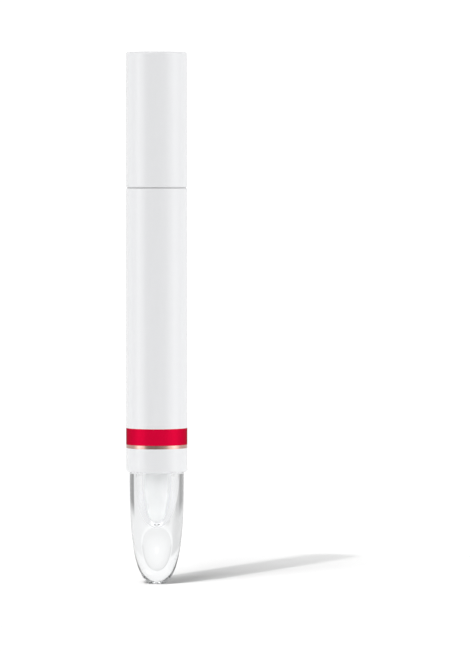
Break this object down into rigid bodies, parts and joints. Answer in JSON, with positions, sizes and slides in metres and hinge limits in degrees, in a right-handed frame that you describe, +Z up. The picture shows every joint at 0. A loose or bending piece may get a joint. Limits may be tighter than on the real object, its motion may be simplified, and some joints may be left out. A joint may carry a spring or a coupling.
{
  "type": "nail oil pen",
  "caption": "Slim white felt-tip nail oil pen with a thick clear bullet-shaped cap, a red band near its front and a long pull-off tail cap over spare tips.",
  "frame": {"origin": "centre of the small flat foot at the end of the clear cap, on which the pen stands upright", "axes": "+Z up along the pen's axis, from the clear cap to the tail cap"},
  "size_m": [0.0156, 0.0156, 0.135],
  "materials": {
    "white_gloss": "glossy white moulding",
    "clear_plastic": "polished clear moulding",
    "milky_plastic": "milky translucent moulding",
    "satin_plastic": "satin white moulding",
    "white_felt": "bonded white fibre",
    "oiled_fibre": "bonded fibre soaked with oil",
    "clear_film": "thin clear film",
    "red_print": "glossy red print",
    "bronze_foil": "hot-stamped rose bronze foil"
  },
  "bodies": {
    "front_cap": {"clear_cap": "clear_plastic", "inner_cap": "milky_plastic"},
    "pen": {"barrel": "white_gloss", "red_band": "red_print", "bronze_band": "bronze_foil", "front_section": "satin_plastic", "felt_tip": "white_felt", "feed_wick": "white_felt", "oil_cartridge": "milky_plastic", "reservoir_film": "clear_film", "reservoir_fibre": "oiled_fibre", "cartridge_plug": "satin_plastic", "rear_neck": "satin_plastic", "spare_tip_tray": "satin_plastic"},
    "rear_cap": {"tail_cap": "white_gloss", "tail_cap_liner": "satin_plastic"},
    "spare_a": {"spare_tip_1": "white_felt"},
    "spare_b": {"spare_tip_2": "white_felt"},
    "spare_c": {"spare_tip_3": "white_felt"}
  },
  "joints": [
    {"name": "clear_cap_pull", "type": "slide", "parent": "front_cap", "child": "pen", "axis": [0, 0, 1], "range_m": [0, 0.04]},
    {"name": "tail_cap_pull", "type": "slide", "parent": "pen", "child": "rear_cap", "axis": [0, 0, 1], "range_m": [0, 0.035]},
    {"name": "spare_tip_1_lift", "type": "slide", "parent": "pen", "child": "spare_a", "axis": [0, 0, 1], "range_m": [0, 0.009]},
    {"name": "spare_tip_2_lift", "type": "slide", "parent": "pen", "child": "spare_b", "axis": [0, 0, 1], "range_m": [0, 0.009]},
    {"name": "spare_tip_3_lift", "type": "slide", "parent": "pen", "child": "spare_c", "axis": [0, 0, 1], "range_m": [0, 0.009]}
  ]
}
